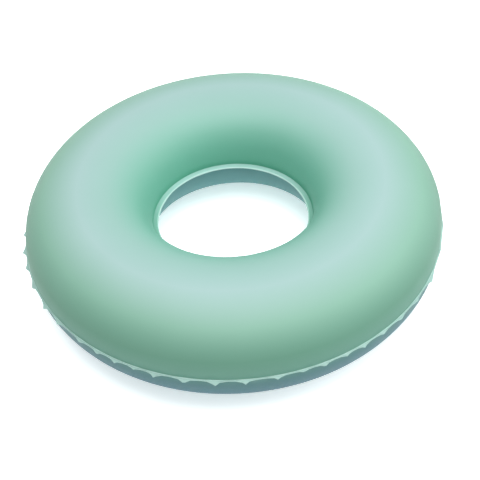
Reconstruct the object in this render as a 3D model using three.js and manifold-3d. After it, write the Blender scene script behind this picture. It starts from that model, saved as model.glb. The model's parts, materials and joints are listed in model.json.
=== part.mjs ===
// Inflatable ring cushion: two ring-shaped vinyl sheets welded together along an outer and an inner seam,
// blown up into a fat tube round a centre hole, with a soft mouth valve at the back of the lower sheet.
// Millimetres, +Z up. The origin is the centre of the ring on the floor, and the valve is on the +Y side.
import * as THREE from "three";
import { mergeVertices } from "three/addons/utils/BufferGeometryUtils.js";
import Module from "manifold-3d";

const wasm = await Module();
wasm.setup();

// The ring.
const OUTER_WELD_R = 198; // where the outer weld leaves the tube
const INNER_WELD_R = 77; // where the inner weld leaves the tube
const OUTER_FLANGE = 5; // width of the flat weld outside the tube
const INNER_FLANGE = 5; // width of the flat weld inside the hole
const TUBE_RISE = 51; // how far each sheet bulges from the weld
const TUBE_SQUARENESS = 2.3; // 2 is an ellipse, and more is squarer
const CREST_LEAN = 2.5; // how far the crest stands nearer the hole than the tube's middle
const FOOT_HALF = 11; // half the width of the flat band that lies on the floor
const FILM = 0.45; // vinyl thickness
const GAP = 0.3; // between faces that touch

// The valve, measured along its axis from the outside of the lower sheet.
const VALVE_TURN = (28 * Math.PI) / 180; // how far round the lower sheet's section it is from the outer weld
const BASE_R = 15; // welded disc inside the sheet
const BASE_THICK = 0.8;
const SHEET_HOLE_R = 9;
const STEM_R = 4.75;
const BORE_R = 3.2;
const STEM_IN = 14; // how deep the stem reaches when it is pushed in
const MOUTH_OUT = 2.5; // how far its mouth stands out then
const MOUTH_R = 6;
const MOUTH_THICK = 1.7;
const DIAPHRAGM_THICK = 0.7;
const DIAPHRAGM_DEPTH = 9.5; // how deep the soft cone folds in with the stem
const PLUG_LENGTH = 8;
const PLUG_TAPER = 0.4; // how much slimmer the shank is at its tip
const HEAD_MARGIN = 0.4; // how far the plug's head stands inside the mouth's edge
const PLUG_HEAD_THICK = 1.5;
const TAB_REACH = 9; // the plug's pull tab, from the axis
const TAB_WIDTH = 5;
const STRAP_WIDTH = 3;
const STRAP_THICK = 0.8;
const STRAP_REACH = 12; // how far the folded strap reaches from the axis
const FLAP_MARGIN = 0.15; // how far the flap's edge stands inside the stem's
const FLAP_THICK = 0.5;

// How finely round shapes are cut.
const RING_STEPS = 72;
const PROFILE_STEPS = 18;
const VALVE_STEPS = 32;

const tubeCentre = (OUTER_WELD_R + INNER_WELD_R) / 2;
const tubeHalf = (OUTER_WELD_R - INNER_WELD_R) / 2;
const bulgeRise = TUBE_RISE - GAP / 2 - FILM;
const footRise = TUBE_RISE * (1 - (FOOT_HALF / tubeHalf) ** TUBE_SQUARENESS) ** (1 / TUBE_SQUARENESS);
const weldZ = footRise;

// ---- shapes

// A closed profile of [radius, height] points turned about the Z axis.
function turned(points, steps) {
  const outline = [...points, points[0]].map(([r, z]) => new THREE.Vector2(r, z));
  return new THREE.LatheGeometry(outline, steps).rotateX(Math.PI / 2);
}

// A solid disc or rod of [radius, height] points, which starts and ends on the axis.
function turnedSolid(points, steps) {
  const outline = points.map(([r, z]) => new THREE.Vector2(r, z));
  return new THREE.LatheGeometry(outline, steps).rotateX(Math.PI / 2);
}

function solidOf(geometry) {
  const bare = geometry.clone();
  bare.deleteAttribute("normal");
  bare.deleteAttribute("uv");
  const merged = mergeVertices(bare, 1e-4);
  return new wasm.Manifold(
    new wasm.Mesh({
      numProp: 3,
      vertProperties: merged.attributes.position.array,
      triVerts: new Uint32Array(merged.index.array),
    }),
  );
}

function geometryOf(solid) {
  const { vertProperties, triVerts } = solid.getMesh();
  const geometry = new THREE.BufferGeometry();
  geometry.setAttribute("position", new THREE.BufferAttribute(vertProperties, 3));
  geometry.setIndex(new THREE.BufferAttribute(triVerts, 1));
  geometry.computeVertexNormals();
  return geometry;
}

// A point of a sheet's section as [radius, height above the weld], inset from the outside of the vinyl.
// The turn runs from 0 at the outer weld over the crest to half a circle at the inner weld.
function sectionPoint(turn, inset) {
  const power = 2 / TUBE_SQUARENESS;
  const across = Math.sign(Math.cos(turn)) * Math.abs(Math.cos(turn)) ** power;
  const lean = CREST_LEAN * Math.sin(turn) ** 2;
  const height = GAP / 2 + FILM - inset + bulgeRise * Math.sin(turn) ** power;
  return [tubeCentre + (tubeHalf - inset) * across - lean, height];
}

// The section from the outer weld to the inner one. A foot is a flat band in place of the crest.
function section(inset, hasFoot) {
  const footCentre = tubeCentre - CREST_LEAN;
  const points = [];
  for (let i = 0; i <= PROFILE_STEPS; i++) {
    const point = sectionPoint((i / PROFILE_STEPS) * Math.PI, inset);
    if (!hasFoot || Math.abs(point[0] - footCentre) > FOOT_HALF + 1) points.push(point);
  }
  if (hasFoot) {
    const flat = [FOOT_HALF, -FOOT_HALF].map((x) => [footCentre + x, footRise - inset]);
    points.splice(points.length / 2, 0, ...flat);
  }
  return points;
}

// A sheet with its two weld flanges, in [radius, height above the weld].
function sheetProfile(hasFoot) {
  const outerEdge = OUTER_WELD_R + OUTER_FLANGE;
  const innerEdge = INNER_WELD_R - INNER_FLANGE;
  const face = GAP / 2;
  return [
    [outerEdge, face],
    [outerEdge, face + FILM],
    ...section(0, hasFoot),
    [innerEdge, face + FILM],
    [innerEdge, face],
    ...section(FILM, hasFoot).reverse(),
  ];
}

const above = (points) => points.map(([r, z]) => [r, weldZ + z]);
const below = (points) => points.map(([r, z]) => [r, weldZ - z]).reverse();

// ---- where the valve goes: its axis leaves the lower sheet square

const [valveY, valveDepth] = sectionPoint(VALVE_TURN, 0);
const [beforeY, beforeDepth] = sectionPoint(VALVE_TURN - 0.01, 0);
const [afterY, afterDepth] = sectionPoint(VALVE_TURN + 0.01, 0);
const valveDrop = Math.atan2(beforeY - afterY, afterDepth - beforeDepth);

// Turns a valve piece, made along +Z, to the valve's axis. Its -Y side is then the upper one.
function atValve(object) {
  object.position.set(0, valveY, weldZ - valveDepth);
  object.rotation.x = -(Math.PI / 2 + valveDrop);
  return object;
}

function valveCutter(radius, from, to) {
  const rod = new THREE.CylinderGeometry(radius, radius, to - from, VALVE_STEPS);
  rod.rotateX(Math.PI / 2).translate(0, 0, (from + to) / 2);
  const holder = atValve(new THREE.Object3D());
  holder.updateMatrixWorld(true);
  return solidOf(rod.applyMatrix4(holder.matrixWorld));
}

// ---- the ring's two sheets

function upperSheet() {
  return turned(above(sheetProfile(false)), RING_STEPS);
}

function lowerSheet() {
  const sheet = solidOf(turned(below(sheetProfile(true)), RING_STEPS));
  return geometryOf(sheet.subtract(valveCutter(SHEET_HOLE_R, -STEM_IN, STEM_IN)));
}

// ---- the valve

const baseTop = FILM + GAP; // depth of the base disc's outer face below the sheet's outside
const stemGap = STEM_R + GAP;
const headR = MOUTH_R - HEAD_MARGIN;
const flapR = STEM_R - FLAP_MARGIN;
const flapHinge = (STEM_R + BORE_R) / 2; // the flap bends at the middle of the stem's wall

// The welded disc follows the inside of the sheet.
function valveBase() {
  const shell = [...section(baseTop, true), ...section(baseTop + BASE_THICK, true).reverse()];
  const ring = solidOf(turned(below(shell), RING_STEPS));
  const disc = ring.intersect(valveCutter(BASE_R, -STEM_IN, STEM_IN));
  return geometryOf(disc.subtract(valveCutter(SHEET_HOLE_R, -STEM_IN, STEM_IN)));
}

// The soft cone between the disc and the stem, folded in.
function valveDiaphragm() {
  const wide = SHEET_HOLE_R - GAP;
  const top = -baseTop;
  return turned(
    [
      [wide, top],
      [wide - DIAPHRAGM_THICK, top],
      [stemGap, top - DIAPHRAGM_DEPTH + DIAPHRAGM_THICK],
      [stemGap, top - DIAPHRAGM_DEPTH],
      [stemGap + DIAPHRAGM_THICK, top - DIAPHRAGM_DEPTH],
      [wide, top - DIAPHRAGM_THICK],
    ],
    VALVE_STEPS,
  );
}

function valveStem() {
  return turned(
    [
      [BORE_R, -STEM_IN],
      [STEM_R, -STEM_IN],
      [STEM_R, MOUTH_OUT - MOUTH_THICK],
      [MOUTH_R, MOUTH_OUT - MOUTH_THICK],
      [MOUTH_R, MOUTH_OUT],
      [BORE_R, MOUTH_OUT],
    ],
    VALVE_STEPS,
  );
}

// The plug: a tapered shank, a flat head and an upward tab to pull it by.
function valvePlug() {
  const shankR = BORE_R - GAP;
  const headFrom = MOUTH_OUT + GAP;
  const headTo = headFrom + PLUG_HEAD_THICK;
  const body = solidOf(
    turnedSolid(
      [
        [0, headFrom - PLUG_LENGTH],
        [shankR - PLUG_TAPER, headFrom - PLUG_LENGTH],
        [shankR, headFrom - PLUG_LENGTH / 2],
        [shankR, headFrom],
        [headR, headFrom],
        [headR, headTo],
        [0, headTo],
      ],
      VALVE_STEPS,
    ),
  );
  const straight = TAB_REACH - TAB_WIDTH / 2;
  const outline = new THREE.Shape();
  outline.moveTo(0, -TAB_WIDTH / 2);
  outline.lineTo(straight, -TAB_WIDTH / 2);
  outline.absarc(straight, 0, TAB_WIDTH / 2, -Math.PI / 2, Math.PI / 2);
  outline.lineTo(0, TAB_WIDTH / 2);
  const tab = new THREE.ExtrudeGeometry(outline, { depth: PLUG_HEAD_THICK, bevelEnabled: false });
  return geometryOf(body.add(solidOf(tab.translate(0, 0, headFrom)))).rotateZ(-Math.PI / 2);
}

// The strap that keeps the plug, folded down and back up below the mouth.
function plugStrap() {
  const low = MOUTH_OUT - MOUTH_THICK / 2;
  const high = MOUTH_OUT + GAP + PLUG_HEAD_THICK / 2;
  const fold = (high - low) / 2;
  const half = STRAP_THICK / 2;
  const bend = -(STRAP_REACH - fold - half);
  const outline = new THREE.Shape();
  outline.moveTo(-MOUTH_R - GAP, low - half);
  outline.lineTo(bend, low - half);
  outline.absarc(bend, low + fold, fold + half, -Math.PI / 2, Math.PI / 2, true);
  outline.lineTo(-headR - GAP, high + half);
  outline.lineTo(-headR - GAP, high - half);
  outline.lineTo(bend, high - half);
  outline.absarc(bend, low + fold, fold - half, Math.PI / 2, -Math.PI / 2, false);
  outline.lineTo(-MOUTH_R - GAP, low + half);
  const strap = new THREE.ExtrudeGeometry(outline, { depth: STRAP_WIDTH, bevelEnabled: false });
  return strap.translate(0, 0, -STRAP_WIDTH / 2).rotateX(Math.PI / 2).rotateZ(-Math.PI / 2);
}

// The thin disc that closes the stem's inner end. It bends at a straight edge on its upper side.
function checkFlap() {
  const outline = new THREE.Shape();
  const cut = Math.asin(flapHinge / flapR);
  outline.absarc(0, 0, flapR, -cut, Math.PI + cut);
  const flap = new THREE.ExtrudeGeometry(outline, { depth: FLAP_THICK, bevelEnabled: false });
  return flap.translate(0, 0, -STEM_IN - GAP - FLAP_THICK);
}

// ---- assembly

const mintVinyl = new THREE.MeshStandardMaterial({ color: 0xa8d6c8, roughness: 0.45, metalness: 0 });
const shadeVinyl = new THREE.MeshStandardMaterial({ color: 0x7fb0b0, roughness: 0.45, metalness: 0 });
const milkyVinyl = new THREE.MeshStandardMaterial({ color: 0xe4efec, roughness: 0.35, metalness: 0 });

function piece(name, geometry, material) {
  const mesh = new THREE.Mesh(geometry, material);
  mesh.name = name;
  return mesh;
}

const ring = new THREE.Group();
ring.add(piece("upper_sheet", upperSheet(), mintVinyl));
ring.add(piece("lower_sheet", lowerSheet(), shadeVinyl));
ring.add(piece("valve_base", valveBase(), milkyVinyl));

const valve = atValve(new THREE.Group());
valve.add(piece("valve_diaphragm", valveDiaphragm(), milkyVinyl));
valve.add(piece("valve_stem", valveStem(), milkyVinyl));
valve.add(piece("valve_plug", valvePlug(), milkyVinyl));
valve.add(piece("plug_strap", plugStrap(), milkyVinyl));
valve.add(piece("check_flap", checkFlap(), milkyVinyl));
ring.add(valve);

export default ring;
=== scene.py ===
"""An inflatable ring cushion of mint vinyl, with its mouth valve, on a pale floor."""
import json
import math

import bpy
import numpy as np
from mathutils import Matrix, Vector


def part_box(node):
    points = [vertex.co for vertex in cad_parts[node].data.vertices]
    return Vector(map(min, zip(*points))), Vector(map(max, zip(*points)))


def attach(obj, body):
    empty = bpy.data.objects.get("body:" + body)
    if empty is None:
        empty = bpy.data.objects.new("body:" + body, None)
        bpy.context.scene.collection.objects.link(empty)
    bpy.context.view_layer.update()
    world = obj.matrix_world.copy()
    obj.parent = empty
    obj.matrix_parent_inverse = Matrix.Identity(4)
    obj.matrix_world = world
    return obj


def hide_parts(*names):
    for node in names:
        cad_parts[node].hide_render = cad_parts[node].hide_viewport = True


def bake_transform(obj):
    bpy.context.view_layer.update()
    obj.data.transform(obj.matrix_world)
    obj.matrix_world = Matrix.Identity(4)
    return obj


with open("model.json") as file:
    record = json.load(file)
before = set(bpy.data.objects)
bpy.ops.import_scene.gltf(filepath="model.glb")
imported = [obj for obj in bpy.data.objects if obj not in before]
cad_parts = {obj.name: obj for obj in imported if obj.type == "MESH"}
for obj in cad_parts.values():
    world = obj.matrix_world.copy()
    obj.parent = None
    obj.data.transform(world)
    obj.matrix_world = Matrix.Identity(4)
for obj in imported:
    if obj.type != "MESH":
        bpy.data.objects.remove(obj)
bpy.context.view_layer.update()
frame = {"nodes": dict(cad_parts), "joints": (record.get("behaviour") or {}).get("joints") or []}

MM = 0.001
FLAT = 0.01 * MM
SAME_POINT = 0.001 * MM
SIDES = 48

# The ring's own sizes, in metres. SQUARENESS is 2 for an oval section and more for a fuller one, and
# CREST_LEAN is how far the crest leans in over the hole. FUSED is how far each flange runs past the
# weld plane.
OUTER_FLANGE = 5 * MM
INNER_FLANGE = 5 * MM
INNER_WELD_R = 77 * MM
SQUARENESS = 2.3
CREST_LEAN = 2.5 * MM
FILM = 0.45 * MM
GAP = 0.3 * MM
FUSED = 0.02 * MM

low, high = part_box("upper_sheet")
OUTER_WELD_R = high.x - OUTER_FLANGE
WELD_Z = low.z - GAP / 2
TUBE_RISE = high.z - WELD_Z
TUBE_CENTRE = (OUTER_WELD_R + INNER_WELD_R) / 2
TUBE_HALF = (OUTER_WELD_R - INNER_WELD_R) / 2

# The outer weld gathers into ears. Each front ear has its place in degrees and its size; the ears
# of the back follow a formula. An ear falls off to both sides over EAR_FALL_LENGTH, down to the
# narrow arches between the ears.
FRONT_EARS = [
    (180.2, 1.15), (187.2, 1.2), (193.5, 1.0), (200.8, 0.95), (209.2, 0.9), (216.2, 0.75),
    (225.0, 0.6), (231.0, 0.6), (236.5, 0.65), (242.0, 0.45), (247.5, 0.85), (255.0, 0.9),
    (262.5, 0.95), (269.8, 0.75), (277.7, 0.6), (284.2, 0.35), (289.6, 0.6), (295.6, 0.45),
    (300.8, 0.6), (307.2, 0.5), (313.8, 0.55), (321.0, 0.5), (329.0, 0.8), (362.0, 0.45),
]
BACK_EARS = 26
EAR_WIDTH = 4.2 * MM
ARCH_WIDTH = 0.85 * MM
ARCH_LIFT = 0.5 * MM
EAR_DROOP = 2.4 * MM
EAR_FALL_LENGTH = 3.1 * MM
EAR_FALL = 1.25
EAR_TIP_ROUND = 0.02
EAR_COLUMNS = 18
COLUMN_CROWDING = 0.55
INNER_DROOP = 0.9 * MM
SECTION_ROWS = 36
FLANGE_ROWS = 4

# The valve: the place and the direction of its axis come from its joint and its sheet. VALVE_DEPTH is
# how far from the hole's plane the film may lie and still be taken as next to the valve. SIDE_SAG and
# TUBE_SAG are how far the film curves away from a flat plate at the hole's sides and at its top and
# bottom, and MOULDED_IN is how far one soft piece runs into the next.
VALVE_TURN = math.radians(28)
SHEET_HOLE_R = 9 * MM
VALVE_DEPTH = 20 * MM
SIDE_SAG = 0.22 * MM
TUBE_SAG = 0.88 * MM
MOULDED_IN = 0.4 * MM
STEM_R = 4.75 * MM
BORE_R = 3.2 * MM
STEM_IN = 14 * MM
MOUTH_OUT = 2.5 * MM
MOUTH_R = 6 * MM
MOUTH_THICK = 1.7 * MM
DIAPHRAGM_THICK = 0.7 * MM
DIAPHRAGM_DEPTH = 9.5 * MM
DIAPHRAGM_STEPS = 12
DIAPHRAGM_HOLLOW = 0.36 * MM
PLUG_LENGTH = 8 * MM
HEAD_R = 5.6 * MM
HEAD_THICK = 1.5 * MM
HEAD_DISH = 0.35 * MM
TAB_REACH = 9 * MM
TAB_START = 2 * MM
TAB_WIDTH = 5 * MM
STRAP_WIDTH = 3 * MM
STRAP_THICK = 0.8 * MM
STRAP_REACH = 12 * MM
STRAP_STEPS = 12


# ---- hands-on helpers

def deselect():
    if bpy.context.object and bpy.context.object.mode != "OBJECT":
        bpy.ops.object.mode_set(mode="OBJECT")
    bpy.ops.object.select_all(action="DESELECT")


def named(name):
    piece = bpy.context.object
    piece.name = piece.data.name = name
    return piece


def points_of(piece):
    co = np.zeros(len(piece.data.vertices) * 3)
    piece.data.vertices.foreach_get("co", co)
    return co.reshape(-1, 3)


def put_points(piece, co):
    piece.data.vertices.foreach_set("co", np.asarray(co, float).ravel())
    piece.data.update()


def pick(piece, test, kind="VERT"):
    """In edit mode, selects the vertices, edges or faces whose middle passes the test."""
    bpy.ops.mesh.select_mode(type=kind)
    bpy.ops.mesh.select_all(action="DESELECT")
    bpy.ops.object.mode_set(mode="OBJECT")
    me = piece.data
    if kind == "VERT":
        for v in me.vertices:
            v.select = test(v.co)
    elif kind == "EDGE":
        for e in me.edges:
            e.select = test((me.vertices[e.vertices[0]].co + me.vertices[e.vertices[1]].co) / 2)
    else:
        for p in me.polygons:
            p.select = test(p.center)
    bpy.ops.object.mode_set(mode="EDIT")


def finish_modifier(piece, kind, **settings):
    modifier = piece.modifiers.new(kind.title(), kind)
    for key, value in settings.items():
        setattr(modifier, key, value)
    deselect()
    piece.select_set(True)
    bpy.context.view_layer.objects.active = piece
    bpy.ops.object.modifier_apply(modifier=modifier.name)


def smooth(piece, degrees=35):
    deselect()
    piece.select_set(True)
    bpy.context.view_layer.objects.active = piece
    bpy.ops.object.shade_smooth_by_angle(angle=math.radians(degrees))


# ---- the outer weld's ears

def ear_places():
    """The angle and the size of every ear, from the left of the front all the way round."""
    degrees = [place for place, size in FRONT_EARS]
    sizes = [size for place, size in FRONT_EARS]
    left = degrees[0] + 360 - degrees[-1]
    shares = np.array([
        1 + 0.22 * math.sin(2.4 * k) + 0.1 * math.sin(5.3 * k + 1) for k in range(BACK_EARS)
    ])
    for k, gap in enumerate(left * shares[:-1] / shares.sum()):
        degrees.append(degrees[-1] + gap)
        sizes.append(0.8 + 0.2 * math.sin(1.7 * k + 0.6) + 0.1 * math.sin(4.1 * k))
    return np.radians(degrees), sizes


EARS, EAR_SIZES = ear_places()
COLUMNS = len(EARS) * EAR_COLUMNS


def column_angles():
    """Each column's angle, and how much of an ear it has. The columns crowd at the ears."""
    ends = np.append(EARS[1:], EARS[0] + 2 * math.pi)
    angles, ear = [], []
    for k, (a, b) in enumerate(zip(EARS, ends)):
        share = np.arange(EAR_COLUMNS) / EAR_COLUMNS
        share = share - COLUMN_CROWDING * np.sin(2 * math.pi * share) / (2 * math.pi)
        angles.append(a + share * (b - a))
        near = np.minimum(share, 1 - share) * (b - a) * OUTER_WELD_R
        this, following = EAR_SIZES[k], EAR_SIZES[(k + 1) % len(EARS)]
        size = np.where(share < 0.5, this, following)
        fall = np.sqrt((near / EAR_FALL_LENGTH) ** 2 + EAR_TIP_ROUND) - math.sqrt(EAR_TIP_ROUND)
        ear.append(size * np.exp(-fall * EAR_FALL))
    return np.concatenate(angles), np.concatenate(ear)


# ---- the two sheets

def section(turn):
    """A sheet's radius and its distance from the weld plane, at a turn from the outer weld."""
    power = 2 / SQUARENESS
    across = np.sign(np.cos(turn)) * np.abs(np.cos(turn)) ** power
    up = np.abs(np.sin(turn)) ** power
    radius = TUBE_CENTRE + TUBE_HALF * across - CREST_LEAN * np.sin(turn) ** 2
    return radius, GAP / 2 + FILM + (TUBE_RISE - GAP / 2 - FILM) * up


def vinyl_sheet(name, side):
    """One sheet, side 1 above the weld and -1 below it, with its half of both weld flanges."""
    deselect()
    bpy.ops.mesh.primitive_torus_add(major_segments=COLUMNS, minor_segments=2 * SECTION_ROWS,
                                     major_radius=TUBE_CENTRE, minor_radius=TUBE_HALF)
    sheet = named(name)
    bpy.ops.object.mode_set(mode="EDIT")
    bpy.ops.mesh.select_all(action="SELECT")
    bpy.ops.mesh.bisect(plane_co=(0, 0, 0), plane_no=(0, 0, side), clear_inner=True)
    for edge, width in ((OUTER_WELD_R, OUTER_FLANGE), (INNER_WELD_R, -INNER_FLANGE)):
        step = width / FLANGE_ROWS
        for row in range(FLANGE_ROWS):
            at = edge + step * row
            pick(sheet, lambda p: abs(math.hypot(p.x, p.y) - at) < abs(step) / 4 and abs(p.z) < FLAT)
            bpy.ops.mesh.select_mode(type="EDGE")
            bpy.ops.mesh.extrude_edges_move()
            grow = (at + step) / at
            bpy.ops.transform.resize(value=(grow, grow, 1))
    bpy.ops.object.mode_set(mode="OBJECT")
    if side < 0:
        refine_at_valve(sheet)
    put_points(sheet, on_tube(points_of(sheet), side))
    return sheet


def refine_at_valve(sheet):
    """Divides the faces that will lie round the valve, so that its hole comes out round."""
    to_valve = VALVE.inverted()
    co = points_of(sheet)
    middles = np.array([co[list(p.vertices)].mean(0) for p in sheet.data.polygons])
    near = []
    for place in on_tube(middles, -1):
        q = to_valve @ Vector(place)
        near.append(math.hypot(q.x, q.y) < SHEET_HOLE_R * 1.7 and abs(q.z) < VALVE_DEPTH)
    bpy.ops.object.mode_set(mode="EDIT")
    bpy.ops.mesh.select_mode(type="FACE")
    bpy.ops.mesh.select_all(action="DESELECT")
    bpy.ops.object.mode_set(mode="OBJECT")
    for polygon, hit in zip(sheet.data.polygons, near):
        polygon.select = hit
    bpy.ops.object.mode_set(mode="EDIT")
    bpy.ops.mesh.subdivide(number_cuts=3)
    bpy.ops.object.mode_set(mode="OBJECT")


def on_tube(co, side):
    """Where the points of a round torus with flat flanges lie on the real sheet."""
    radius = np.hypot(co[:, 0], co[:, 1])
    column = np.arctan2(co[:, 1], co[:, 0]) / (2 * math.pi) * COLUMNS % COLUMNS
    angles, ears = column_angles()
    steps = np.arange(COLUMNS + 1)
    angle = np.interp(column, steps, np.append(angles, angles[0] + 2 * math.pi))
    ear = np.interp(column, steps, np.append(ears, ears[0]))
    turn = np.arctan2(np.abs(co[:, 2]), radius - TUBE_CENTRE)
    r, depth = section(turn)

    outside = np.maximum(radius - OUTER_WELD_R, 0) / OUTER_FLANGE
    inside = np.maximum(INNER_WELD_R - radius, 0) / INNER_FLANGE
    outside[outside < 1e-3] = 0
    inside[inside < 1e-3] = 0
    width = ARCH_WIDTH + (EAR_WIDTH - ARCH_WIDTH) * ear
    ripple = 0.25 * MM * np.sin(7 * angle + 0.4) + 0.15 * MM * np.sin(17 * angle)
    r = np.where(outside > 0, OUTER_WELD_R + width * outside, r)
    r = np.where(inside > 0, INNER_WELD_R - (INNER_FLANGE + ripple) * inside, r)
    depth = np.where(outside + inside > 0, FILM - FUSED, depth)
    z = WELD_Z + side * depth
    z = z - EAR_DROOP * ear * outside ** 1.3 + ARCH_LIFT * (1 - ear) * outside
    z = z - INNER_DROOP * inside + 0.5 * ripple * inside
    return np.stack([r * np.cos(angle), r * np.sin(angle), np.maximum(z, 0)], 1)


def open_for_valve(sheet):
    """Cuts the valve's round hole: the faces in it go, and the edge left is drawn to the circle."""
    to_valve = VALVE.inverted()

    def off_axis(p):
        q = to_valve @ p
        return math.hypot(q.x, q.y) if abs(q.z) < VALVE_DEPTH else math.inf

    deselect()
    sheet.select_set(True)
    bpy.context.view_layer.objects.active = sheet
    bpy.ops.object.mode_set(mode="EDIT")
    pick(sheet, lambda p: off_axis(p) < SHEET_HOLE_R, "FACE")
    bpy.ops.mesh.delete(type="FACE")
    bpy.ops.mesh.select_mode(type="VERT")
    bpy.ops.mesh.select_all(action="DESELECT")
    bpy.ops.mesh.select_non_manifold(extend=False)
    bpy.ops.object.mode_set(mode="OBJECT")
    for v in sheet.data.vertices:
        if v.select and off_axis(v.co) < SHEET_HOLE_R * 1.6:
            q = to_valve @ v.co
            grow = SHEET_HOLE_R / math.hypot(q.x, q.y)
            v.co = VALVE @ Vector((q.x * grow, q.y * grow, q.z))


def valve_place():
    """The valve's own axes: +Z out of the sheet along its joint, -Y up."""
    axis = Vector(next(j for j in frame["joints"] if j["name"] == "stem_pull")["axis"]).normalized()
    radius, depth = section(np.array([VALVE_TURN]))
    across = Vector((1, 0, 0))
    down = axis.cross(across)
    place = Matrix((across, down, axis)).transposed().to_4x4()
    place.translation = Vector((0, radius[0], WELD_Z - depth[0]))
    return place


VALVE = valve_place()


# ---- the valve's pieces, each made upright at the origin and then set on the valve's axis

def set_on_valve(piece):
    deselect()
    piece.select_set(True)
    piece.data.transform(VALVE)
    piece.data.update()
    return piece


def turned(name, rings, closed=True):
    """A round piece drawn ring by ring: each ring is the last one extruded and scaled."""
    deselect()
    radius, height = rings[0]
    bpy.ops.mesh.primitive_circle_add(vertices=SIDES, radius=radius, fill_type="NOTHING",
                                      location=(0, 0, height))
    piece = named(name)
    bpy.ops.object.transform_apply(location=True)
    bpy.ops.object.mode_set(mode="EDIT")
    bpy.ops.mesh.select_mode(type="EDGE")
    bpy.ops.mesh.select_all(action="SELECT")
    for r, z in rings[1:] + ([rings[0]] if closed else []):
        bpy.ops.mesh.extrude_edges_move(TRANSFORM_OT_translate={"value": (0, 0, z - height)})
        bpy.ops.transform.resize(value=(r / radius, r / radius, 1))
        radius, height = r, z
    bpy.ops.mesh.select_all(action="SELECT")
    bpy.ops.mesh.remove_doubles(threshold=SAME_POINT)
    bpy.ops.mesh.normals_make_consistent(inside=False)
    bpy.ops.object.mode_set(mode="OBJECT")
    return piece


def rounded(corners, radius, steps=3):
    """A closed outline of (radius, height) corners, with the corners rounded."""
    out = []
    count = len(corners)
    for i in range(count):
        before, here, after = (Vector(corners[(i + k) % count]) for k in (-1, 0, 1))
        back, on = before - here, after - here
        r = min(radius, back.length * 0.45, on.length * 0.45)
        a, b = here + back.normalized() * r, here + on.normalized() * r
        for s in range(steps + 1):
            t = s / steps
            p = a * (1 - t) ** 2 + here * 2 * t * (1 - t) + b * t ** 2
            out.append((p.x, p.y))
    return out


def valve_stem():
    outline = [
        (BORE_R, -STEM_IN), (STEM_R, -STEM_IN), (STEM_R, MOUTH_OUT - MOUTH_THICK),
        (MOUTH_R, MOUTH_OUT - MOUTH_THICK), (MOUTH_R, MOUTH_OUT), (BORE_R, MOUTH_OUT),
    ]
    piece = turned("mouth_tube", rounded(outline, 0.35 * MM))
    smooth(piece)
    return set_on_valve(piece)


def valve_diaphragm():
    """The soft cone, from under the film's edge to the middle of the stem's wall."""
    wide, narrow = SHEET_HOLE_R + MOULDED_IN, (STEM_R + BORE_R) / 2
    top = -(FILM + GAP / 4)
    outer, inner = [], []
    for i in range(DIAPHRAGM_STEPS + 1):
        t = i / DIAPHRAGM_STEPS
        r = wide + (narrow - wide) * t - DIAPHRAGM_HOLLOW * math.sin(math.pi * t)
        z = top - DIAPHRAGM_DEPTH * (t * t * (3 - 2 * t) * 0.4 + t * 0.6)
        outer.append((r, z))
        at_end = i in (0, DIAPHRAGM_STEPS)
        inner.append((r, z - DIAPHRAGM_THICK) if at_end else (r + DIAPHRAGM_THICK, z))
    piece = turned("soft_cone", outer + inner[::-1])
    co = points_of(piece)
    to_film = np.clip((np.hypot(co[:, 0], co[:, 1]) - narrow) / (wide - narrow), 0, 1) ** 2
    co[:, 2] -= to_film * (SIDE_SAG * (co[:, 0] / wide) ** 2 + TUBE_SAG * (co[:, 1] / wide) ** 2)
    put_points(piece, co)
    smooth(piece, 60)
    return set_on_valve(piece)


def valve_plug():
    shank = BORE_R - GAP
    base = MOUTH_OUT + GAP
    top = base + HEAD_THICK
    tip = base - PLUG_LENGTH
    dot = 0.05 * MM
    dish = top - HEAD_DISH
    half = [
        (dot, tip), (shank - 0.6 * MM, tip), (shank - 0.4 * MM, tip + 0.4 * MM),
        (shank, base - PLUG_LENGTH / 2),
        (shank, base), (HEAD_R - 0.3 * MM, base), (HEAD_R, base + 0.3 * MM),
        (HEAD_R, top - 0.45 * MM),
        (HEAD_R - 0.4 * MM, top), (HEAD_R * 0.62, top), (HEAD_R * 0.5, dish), (dot, dish),
    ]
    piece = turned("plug", half, closed=False)
    bpy.ops.object.mode_set(mode="EDIT")
    bpy.ops.mesh.select_all(action="DESELECT")
    bpy.ops.mesh.select_non_manifold(extend=False)
    bpy.ops.mesh.fill_holes(sides=64)
    bpy.ops.mesh.select_all(action="SELECT")
    bpy.ops.mesh.normals_make_consistent(inside=False)
    bpy.ops.object.mode_set(mode="OBJECT")
    tab = pull_tab(base)
    finish_modifier(piece, "BOOLEAN", operation="UNION", object=tab, solver="EXACT")
    bpy.data.objects.remove(tab)
    smooth(piece, 40)
    return set_on_valve(piece)


def pull_tab(base):
    """A flat tongue on the head's upper side, with a rounded end."""
    deselect()
    length = TAB_REACH - TAB_START
    bpy.ops.mesh.primitive_cube_add(size=1, scale=(TAB_WIDTH, length, HEAD_THICK * 0.8),
                                    location=(0, -TAB_START - length / 2, base + HEAD_THICK / 2))
    tab = named("tab")
    bpy.ops.object.transform_apply(location=True, scale=True)
    bpy.ops.object.mode_set(mode="EDIT")
    pick(tab, lambda p: p.y < -TAB_REACH + 0.5 * MM and abs(p.x) > TAB_WIDTH * 0.4, "EDGE")
    bpy.ops.mesh.bevel(offset=TAB_WIDTH * 0.42, segments=6)
    bpy.ops.object.mode_set(mode="OBJECT")
    finish_modifier(tab, "BEVEL", width=0.25 * MM, segments=2, limit_method="ANGLE")
    return tab


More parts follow.
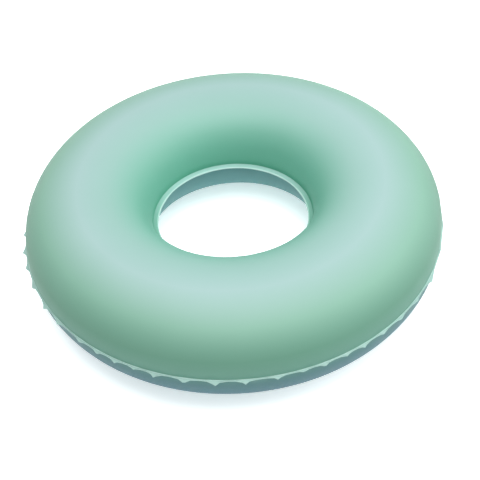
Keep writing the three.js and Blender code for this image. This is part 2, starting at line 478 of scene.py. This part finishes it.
def plug_strap():
    """A flat strip from below the mouth, out and back up to the plug's head."""
    low_leg = MOUTH_OUT - MOUTH_THICK / 2
    high_leg = MOUTH_OUT + GAP + HEAD_THICK / 2
    fold = (high_leg - low_leg) / 2
    bow = 2 * fold
    bend = STRAP_REACH - bow - STRAP_THICK / 2
    path = [(MOUTH_R - MOULDED_IN, low_leg), ((MOUTH_R + bend) / 2, low_leg)]
    for i in range(STRAP_STEPS + 1):
        a = math.pi * (i / STRAP_STEPS - 0.5)
        path.append((bend + bow * math.cos(a), low_leg + fold + fold * math.sin(a)))
    path += [((HEAD_R + bend) / 2, high_leg), (HEAD_R - MOULDED_IN, high_leg)]
    deselect()
    bpy.ops.mesh.primitive_plane_add(size=1, location=(0, path[0][0], path[0][1]))
    strap = named("plug_strap_strip")
    bpy.ops.object.transform_apply(location=True)
    bpy.ops.object.mode_set(mode="EDIT")
    pick(strap, lambda p: p.y > path[0][0])
    bpy.ops.mesh.delete(type="VERT")
    bpy.ops.mesh.select_mode(type="EDGE")
    bpy.ops.mesh.select_all(action="SELECT")
    bpy.ops.transform.resize(value=(STRAP_WIDTH, 1, 1))
    bpy.ops.transform.translate(value=(0, 0.5, 0))
    for here, following in zip(path, path[1:]):
        move = (0, following[0] - here[0], following[1] - here[1])
        bpy.ops.mesh.extrude_edges_move(TRANSFORM_OT_translate={"value": move})
    bpy.ops.object.mode_set(mode="OBJECT")
    finish_modifier(strap, "SOLIDIFY", thickness=STRAP_THICK, offset=0)
    finish_modifier(strap, "BEVEL", width=0.2 * MM, segments=2, limit_method="ANGLE")
    smooth(strap, 45)
    return set_on_valve(strap)


# ---- finishes

class Finish:
    """A material and a short way to add nodes to it."""

    def __init__(self, name):
        self.material = bpy.data.materials.new(name)
        self.material.use_nodes = True
        self.tree = self.material.node_tree
        self.shader = self.tree.nodes["Principled BSDF"]
        self.place = self.add("ShaderNodeTexCoord").outputs["Object"]

    def add(self, kind, settings=None, **inputs):
        """A new node. Its inputs are given by name, or as i0, i1 and so on by number."""
        node = self.tree.nodes.new(kind)
        for key, value in (settings or {}).items():
            setattr(node, key, value)
        for key, value in inputs.items():
            by_number = key[0] == "i" and key[1:].isdigit()
            self.put(node, int(key[1:]) if by_number else key.replace("_", " "), value)
        return node

    def put(self, node, socket, value):
        if isinstance(value, bpy.types.NodeSocket):
            self.tree.links.new(value, node.inputs[socket])
        else:
            node.inputs[socket].default_value = value

    def maths(self, operation, a, b=0.0):
        return self.add("ShaderNodeMath", {"operation": operation}, i0=a, i1=b).outputs[0]

    def noise(self, scale, detail=2.0, roughness=0.5):
        return self.add("ShaderNodeTexNoise", Vector=self.place, Scale=scale, Detail=detail,
                        Roughness=roughness).outputs["Fac"]

    def span(self, value, a, b, low=0.0, high=1.0):
        return self.add("ShaderNodeMapRange", {"interpolation_type": "SMOOTHSTEP"}, Value=value,
                        From_Min=a, From_Max=b, To_Min=low, To_Max=high).outputs[0]

    def blend(self, share, a, b, how="MIX"):
        """Two colours mixed: they go in at sockets 6 and 7, and the result comes out at 2."""
        kind = {"data_type": "RGBA", "blend_type": how}
        return self.add("ShaderNodeMix", kind, i0=share, i6=a, i7=b).outputs[2]

    def tones(self, value, stops):
        """Colours along a value from 0 to 1, each stop a place and a colour."""
        node = self.add("ShaderNodeValToRGB", i0=value)
        elements = node.color_ramp.elements
        while len(elements) < len(stops):
            elements.new(0.5)
        for element, (place, colour) in zip(elements, stops):
            element.position = place
            element.color = colour + (1,)
        return node.outputs[0]

    def bump(self, height, distance, strength, under=None):
        node = self.add("ShaderNodeBump", Height=height, Distance=distance, Strength=strength)
        if under:
            self.put(node, "Normal", under)
        return node.outputs[0]

    def set(self, **values):
        for key, value in values.items():
            self.put(self.shader, key.replace("_", " "), value)


def film_finish(name, tones, painted_root_light):
    """Matt vinyl film. Its tone runs round the tube, from the outer weld at 0 to the inner weld at 1,
    and is painted light: a painted highlight over the crest and painted shade towards the welds.
    The welded flanges are paler and finely knurled; the inner one is painted lighter at the back and
    darker at the front. The last argument at 1 adds a pale line over the outer weld, painted light
    over the shade of the crease there.
    """
    f = Finish(name)
    x, y, z = f.add("ShaderNodeSeparateXYZ", Vector=f.place).outputs
    radius = f.maths("SQRT", f.maths("ADD", f.maths("MULTIPLY", x, x), f.maths("MULTIPLY", y, y)))
    from_weld = f.maths("ABSOLUTE", f.maths("SUBTRACT", z, WELD_Z))
    high = f.maths("DIVIDE", from_weld, TUBE_RISE)
    out = f.maths("DIVIDE", f.maths("SUBTRACT", radius, TUBE_CENTRE), TUBE_HALF)
    # The tone ramp paints light and shade round the tube.
    colour = f.tones(f.maths("DIVIDE", f.maths("ARCTAN2", high, out), math.pi), tones)
    cloudy = f.noise(9.0, 3.0)
    colour = f.blend(f.span(cloudy, 0.3, 0.7, 0.0, 0.6), colour, CLOUD_TINT, "MULTIPLY")

    # Painted light: a pale line on the film just above the outer weld, lightening the shade in the
    # crease where the film meets the flange.
    at_outer = f.span(radius, TUBE_CENTRE, TUBE_CENTRE + 1 * MM)
    root = f.maths("MULTIPLY", f.span(from_weld, 1.5 * MM, 0.9 * MM), at_outer)
    outer = f.span(radius, OUTER_WELD_R - 0.1 * MM, OUTER_WELD_R + 0.4 * MM)
    inner = f.span(radius, INNER_WELD_R + 0.1 * MM, INNER_WELD_R - 0.4 * MM)
    # Painted light and shade: the inner weld runs from a shaded tone at the front to a lit tone at
    # the back, with a paler line near its lip.
    rim = f.blend(f.span(y, -5 * MM, 60 * MM), SHADED_RIM_PAINTED, LIT_RIM_PAINTED)
    colour = f.blend(f.maths("MULTIPLY", root, painted_root_light), colour, ROOT_PAINTED_LIGHT)
    lip = f.span(radius, INNER_WELD_R - 3.6 * MM, INNER_WELD_R - 4.4 * MM)
    rim = f.blend(f.maths("MULTIPLY", lip, 0.6), rim, LIP_LINE)
    colour = f.blend(inner, f.blend(outer, colour, MINT_WELD), rim)
    welded = f.maths("MAXIMUM", outer, inner)

    grain = f.noise(1100.0, 3.0, 0.6)
    normal = f.bump(cloudy, 1.2 * MM, 0.25)
    normal = f.bump(grain, 0.05 * MM, 0.35, normal)
    hatch = []
    for turn in (math.pi / 4, -math.pi / 4):
        turned_place = f.add("ShaderNodeMapping", Vector=f.place, Rotation=(0, 0, turn)).outputs[0]
        wave = f.add("ShaderNodeTexWave", {"bands_direction": "X"}, Scale=360.0, Vector=turned_place)
        hatch.append(wave.outputs["Fac"])
    knurl = f.maths("MULTIPLY", f.maths("MULTIPLY", hatch[0], hatch[1]), welded)
    normal = f.bump(knurl, 0.12 * MM, 0.6, normal)
    rough = f.maths("ADD", f.span(grain, 0.3, 0.7, 0.56, 0.64), f.maths("MULTIPLY", welded, -0.12))
    f.set(Base_Color=colour, Roughness=rough, Normal=normal, IOR=1.54, Specular_IOR_Level=0.4)
    return f


def moulding_finish(name, colour):
    """Soft moulded vinyl, slightly see-through, a little uneven in tone and gloss."""
    f = Finish(name)
    grain = f.noise(900.0)
    deeper = tuple(0.93 * c for c in colour[:3]) + (1,)
    f.set(Base_Color=f.blend(f.span(f.noise(120.0), 0.3, 0.7), colour, deeper),
          Roughness=f.span(grain, 0.3, 0.7, 0.28, 0.38), Normal=f.bump(grain, 0.03 * MM, 0.4),
          IOR=1.5, Subsurface_Weight=0.25, Subsurface_Scale=1.5 * MM)
    f.shader.inputs["Subsurface Radius"].default_value = (1, 1, 1)
    return f


def floor_finish():
    """A pale floor, lit from below as a light table is."""
    f = Finish("pale_floor")
    f.set(Base_Color=(0.96, 0.97, 0.97, 1), Roughness=0.9,
          Emission_Color=(0.92, 0.99, 1, 1), Emission_Strength=0.5)
    return f


def wear(piece, finish):
    piece.data.materials.clear()
    piece.data.materials.append(finish.material)
    for polygon in piece.data.polygons:
        polygon.material_index = 0


# Both films are painted palest over the crest and deeper towards both welds: a painted highlight over
# the crest and painted shade on the slopes.
MINT_TONES_PAINTED_LIGHT = [
    (0.0, (0.072, 0.200, 0.152)), (0.12, (0.078, 0.206, 0.144)), (0.28, (0.162, 0.318, 0.246)),
    (0.47, (0.244, 0.368, 0.356)), (0.62, (0.202, 0.348, 0.313)), (0.78, (0.130, 0.334, 0.258)),
    (1.0, (0.083, 0.345, 0.235)),
]
# The lower film's tones are a darker, bluer shaded copy of the mint film: painted shade under the
# outer flange, and a painted contact shadow near 0.24 on the slope close to the floor.
SEA_TONES_PAINTED_SHADE = [
    (0.0, (0.038, 0.142, 0.116)), (0.05, (0.032, 0.116, 0.124)), (0.16, (0.033, 0.110, 0.142)),
    (0.24, (0.024, 0.084, 0.112)), (0.36, (0.085, 0.190, 0.205)), (0.5, (0.165, 0.290, 0.290)),
    (0.75, (0.100, 0.260, 0.265)), (1.0, (0.066, 0.205, 0.210)),
]
CLOUD_TINT = (0.94, 0.97, 0.95, 1)
MINT_WELD = (0.27, 0.43, 0.39, 1)
# Painted light over the crease at the outer weld's edge.
ROOT_PAINTED_LIGHT = (0.46, 0.66, 0.60, 1)
# The inner weld's shaded and lit tones: painted shade at the front, painted light at the back.
SHADED_RIM_PAINTED = (0.12, 0.31, 0.24, 1)
LIT_RIM_PAINTED = (0.23, 0.42, 0.375, 1)
LIP_LINE = (0.46, 0.64, 0.60, 1)
MILKY = (0.42, 0.52, 0.49, 1)

upper = vinyl_sheet("upper_vinyl", 1)
lower = vinyl_sheet("lower_vinyl", -1)
open_for_valve(lower)
for sheet in (upper, lower):
    finish_modifier(sheet, "SOLIDIFY", thickness=FILM, offset=-1)
    smooth(sheet, 38)

wear(upper, film_finish("mint_film", MINT_TONES_PAINTED_LIGHT, 1.0))
# The lower film wears the shaded copy: painted shade, darker and bluer than the mint film.
wear(lower, film_finish("sea_film_painted_shade", SEA_TONES_PAINTED_SHADE, 0.0))
milky = moulding_finish("milky_moulding", MILKY)

stem, cone, plug, strap = valve_stem(), valve_diaphragm(), valve_plug(), plug_strap()
for piece in (stem, cone, plug, strap):
    wear(piece, milky)
for node in ("valve_base", "check_flap"):
    for slot in frame["nodes"][node].material_slots:
        slot.material = milky.material

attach(upper, "ring")
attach(lower, "ring")
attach(stem, "stem")
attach(plug, "plug")
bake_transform(cone)
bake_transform(strap)
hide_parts("upper_sheet")
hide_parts("lower_sheet")
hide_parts("valve_stem")
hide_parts("valve_diaphragm")
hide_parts("valve_plug")
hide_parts("plug_strap")

# ---- floor, light and camera

FLOOR_SIZE = 40
FLOOR_DROP = 0.3 * MM
LIGHT_DISTANCE = 1.8
# Each softbox: its name, its turn from +X and its height in degrees, its size and its power.
SOFTBOXES = [
    ("overhead_softbox", 0, 90, 1.6, 32), ("right_softbox", 0, 35, 1.4, 14),
    ("left_softbox", 135, 28, 1.4, 2.5), ("front_softbox", 292, 62, 1.6, 8),
]
# The camera's height, roll, pan and tilt in radians, its distance in metres and its lens in mm.
CAMERA_ELEVATION = 0.7908
CAMERA_DISTANCE = 1.0477
CAMERA_ROLL = 0.0784
CAMERA_PAN = -0.0047
CAMERA_TILT = 0.0123
CAMERA_LENS = 78.93
SENSOR_WIDTH = 36

deselect()
bpy.ops.mesh.primitive_plane_add(size=FLOOR_SIZE, location=(0, 0, -FLOOR_DROP))
bpy.ops.object.transform_apply(location=True)
floor = named("floor")
wear(floor, floor_finish())

world = bpy.data.worlds.new("studio")
bpy.context.scene.world = world
world.use_nodes = True
background = world.node_tree.nodes["Background"]
background.inputs["Color"].default_value = (1, 1, 1, 1)
background.inputs["Strength"].default_value = 0.5


def softbox(name, turn, height, size, power):
    """A round light that faces the ring's middle, turned from +X and raised by degrees."""
    a, h = math.radians(turn), math.radians(height)
    ahead = Vector((math.cos(a) * math.cos(h), math.sin(a) * math.cos(h), math.sin(h)))
    place = LIGHT_DISTANCE * ahead
    deselect()
    bpy.ops.object.light_add(type="AREA", location=place)
    light = bpy.context.object
    light.name = name
    light.data.shape = "DISK"
    light.data.size = size
    light.data.energy = power
    light.rotation_mode = "QUATERNION"
    light.rotation_quaternion = (-place).to_track_quat("-Z", "Y")


for settings in SOFTBOXES:
    softbox(*settings)


def set_camera():
    bpy.ops.object.camera_add()
    camera = bpy.context.object
    camera.data.lens = CAMERA_LENS
    camera.data.sensor_width = SENSOR_WIDTH
    camera.data.clip_start, camera.data.clip_end = 0.05, 50
    place = Vector((0, -math.cos(CAMERA_ELEVATION), math.sin(CAMERA_ELEVATION))) * CAMERA_DISTANCE
    ahead, right = -place.normalized(), Vector((1, 0, 0))
    up = right.cross(ahead)
    turn = Matrix.Rotation(CAMERA_PAN, 3, up)
    ahead, right = turn @ ahead, turn @ right
    turn = Matrix.Rotation(CAMERA_TILT, 3, right)
    ahead, up = turn @ ahead, turn @ up
    turn = Matrix.Rotation(CAMERA_ROLL, 3, ahead)
    right, up = turn @ right, turn @ up
    camera.rotation_mode = "QUATERNION"
    camera.rotation_quaternion = Matrix((right, up, -ahead)).transposed().to_quaternion()
    camera.location = place
    bpy.context.scene.camera = camera


set_camera()
bpy.context.scene.view_settings.view_transform = "Standard"
